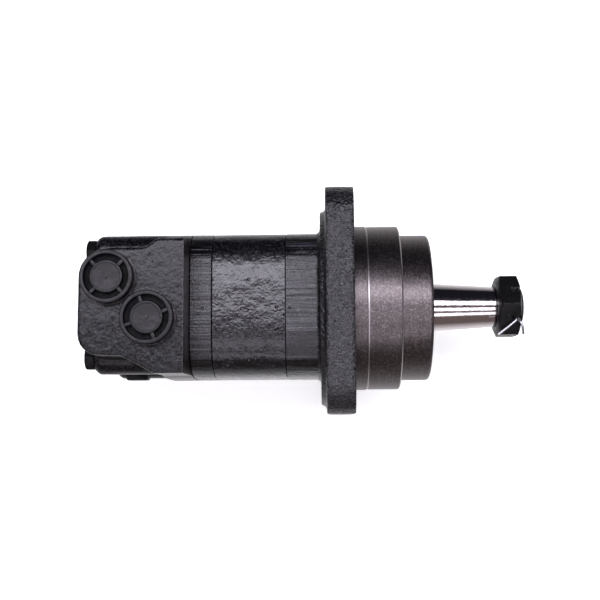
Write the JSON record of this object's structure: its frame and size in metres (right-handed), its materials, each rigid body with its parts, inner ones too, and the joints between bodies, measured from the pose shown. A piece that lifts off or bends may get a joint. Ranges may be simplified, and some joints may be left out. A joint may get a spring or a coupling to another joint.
{
  "type": "hydraulic wheel motor",
  "caption": "Orbital hydraulic wheel motor with a square flange, machined pilot nose, tapered shaft with slotted nut, and a rear housing with two capped side ports.",
  "frame": {"origin": "on the motor's axis, in the front face of the mounting flange", "axes": "+X along the output shaft towards its nut, +Z the side where the two ports open, +Y across the flange"},
  "size_m": [0.2795, 0.1398, 0.1479],
  "materials": {
    "black_paint": "satin black paint over rough cast iron",
    "turned_iron": "turned, dark grey",
    "bright_steel": "ground bright",
    "ground_steel": "ground",
    "black_oxide": "black oxide, oiled",
    "zinc": "zinc plated",
    "cap_plastic": "moulded black plastic",
    "rubber": "matt",
    "bronze": "turned"
  },
  "bodies": {
    "motor_body": {"bearing_housing": "black_paint", "geroler_ring": "black_paint", "valve_plate": "black_paint", "valve_housing": "black_paint", "tie_bolt_1": "black_oxide", "tie_bolt_2": "black_oxide", "tie_bolt_3": "black_oxide", "tie_bolt_4": "black_oxide", "port_cap_a": "cap_plastic", "port_cap_b": "cap_plastic", "drain_plug": "black_oxide", "housing_o_ring": "rubber", "plate_o_ring": "rubber", "valve_o_ring": "rubber", "wear_plate": "ground_steel", "rear_bearing_cup": "ground_steel", "front_bearing_cup": "ground_steel", "seal_carrier": "turned_iron", "carrier_o_ring": "rubber", "shaft_seal": "rubber", "dust_seal": "rubber", "seal_snap_ring": "ground_steel", "balance_ring": "bronze", "balance_seal": "rubber", "balance_spring_1": "zinc", "balance_spring_2": "zinc", "balance_spring_3": "zinc", "balance_pin_1": "ground_steel", "balance_pin_2": "ground_steel"},
    "shaft": {"output_shaft": "bright_steel", "shaft_key": "ground_steel", "castle_nut": "black_oxide", "cotter_pin": "zinc", "bearing_lock_nut": "black_oxide", "bearing_spacer": "ground_steel", "rear_bearing_cone": "ground_steel", "front_bearing_cone": "ground_steel"},
    "rear_rollers": {"rear_bearing_rollers": "ground_steel"},
    "front_rollers": {"front_bearing_rollers": "ground_steel"},
    "orbit": {"drive_spacer": "ground_steel"},
    "star": {"star": "ground_steel"},
    "main_drive": {"main_drive": "ground_steel"},
    "valve_drive": {"valve_drive": "ground_steel"},
    "disc_valve": {"disc_valve": "ground_steel"},
    "roll_1": {"roll_1": "ground_steel"},
    "roll_2": {"roll_2": "ground_steel"},
    "roll_3": {"roll_3": "ground_steel"},
    "roll_4": {"roll_4": "ground_steel"},
    "roll_5": {"roll_5": "ground_steel"},
    "roll_6": {"roll_6": "ground_steel"},
    "roll_7": {"roll_7": "ground_steel"}
  },
  "joints": [
    {"name": "shaft_spin", "type": "hinge", "parent": "motor_body", "child": "shaft", "pos_m": [0.07, 0, 0], "axis": [1, 0, 0], "continuous": true},
    {"name": "rear_rollers_spin", "type": "hinge", "parent": "motor_body", "child": "rear_rollers", "pos_m": [-0.004, 0, 0], "axis": [1, 0, 0], "continuous": true},
    {"name": "front_rollers_spin", "type": "hinge", "parent": "motor_body", "child": "front_rollers", "pos_m": [0.025, 0, 0], "axis": [1, 0, 0], "continuous": true},
    {"name": "orbit_turn", "type": "hinge", "parent": "motor_body", "child": "orbit", "pos_m": [-0.069, 0, 0], "axis": [1, 0, 0], "continuous": true},
    {"name": "star_spin", "type": "hinge", "parent": "orbit", "child": "star", "pos_m": [-0.065, 0.0032, 0], "axis": [1, 0, 0], "continuous": true},
    {"name": "main_drive_spin", "type": "hinge", "parent": "orbit", "child": "main_drive", "pos_m": [0.008, 0, 0], "axis": [0.9988, -0.0484, 0], "continuous": true},
    {"name": "valve_drive_spin", "type": "hinge", "parent": "orbit", "child": "valve_drive", "pos_m": [-0.1085, 0, 0], "axis": [0.9947, 0.1027, 0], "continuous": true},
    {"name": "disc_valve_spin", "type": "hinge", "parent": "motor_body", "child": "disc_valve", "pos_m": [-0.11, 0, 0], "axis": [1, 0, 0], "continuous": true},
    {"name": "roll_1_spin", "type": "hinge", "parent": "motor_body", "child": "roll_1", "pos_m": [-0.065, 0.0333, 0], "axis": [1, 0, 0], "continuous": true},
    {"name": "roll_2_spin", "type": "hinge", "parent": "motor_body", "child": "roll_2", "pos_m": [-0.065, 0.02076, 0.02603], "axis": [1, 0, 0], "continuous": true},
    {"name": "roll_3_spin", "type": "hinge", "parent": "motor_body", "child": "roll_3", "pos_m": [-0.065, -0.00741, 0.03247], "axis": [1, 0, 0], "continuous": true},
    {"name": "roll_4_spin", "type": "hinge", "parent": "motor_body", "child": "roll_4", "pos_m": [-0.065, -0.03, 0.01445], "axis": [1, 0, 0], "continuous": true},
    {"name": "roll_5_spin", "type": "hinge", "parent": "motor_body", "child": "roll_5", "pos_m": [-0.065, -0.03, -0.01445], "axis": [1, 0, 0], "continuous": true},
    {"name": "roll_6_spin", "type": "hinge", "parent": "motor_body", "child": "roll_6", "pos_m": [-0.065, -0.00741, -0.03247], "axis": [1, 0, 0], "continuous": true},
    {"name": "roll_7_spin", "type": "hinge", "parent": "motor_body", "child": "roll_7", "pos_m": [-0.065, 0.02076, -0.02603], "axis": [1, 0, 0], "continuous": true}
  ],
  "couplings": [
    {"joint": "rear_rollers_spin", "follows": "shaft_spin", "ratio": 0.43},
    {"joint": "front_rollers_spin", "follows": "shaft_spin", "ratio": 0.42},
    {"joint": "orbit_turn", "follows": "shaft_spin", "ratio": -6},
    {"joint": "star_spin", "follows": "shaft_spin", "ratio": 7},
    {"joint": "main_drive_spin", "follows": "shaft_spin", "ratio": 7},
    {"joint": "valve_drive_spin", "follows": "shaft_spin", "ratio": 7},
    {"joint": "disc_valve_spin", "follows": "shaft_spin", "ratio": 1},
    {"joint": "roll_1_spin", "follows": "shaft_spin", "ratio": -4.6},
    {"joint": "roll_2_spin", "follows": "shaft_spin", "ratio": -4.6},
    {"joint": "roll_3_spin", "follows": "shaft_spin", "ratio": -4.6},
    {"joint": "roll_4_spin", "follows": "shaft_spin", "ratio": -4.6},
    {"joint": "roll_5_spin", "follows": "shaft_spin", "ratio": -4.6},
    {"joint": "roll_6_spin", "follows": "shaft_spin", "ratio": -4.6},
    {"joint": "roll_7_spin", "follows": "shaft_spin", "ratio": -4.6}
  ]
}
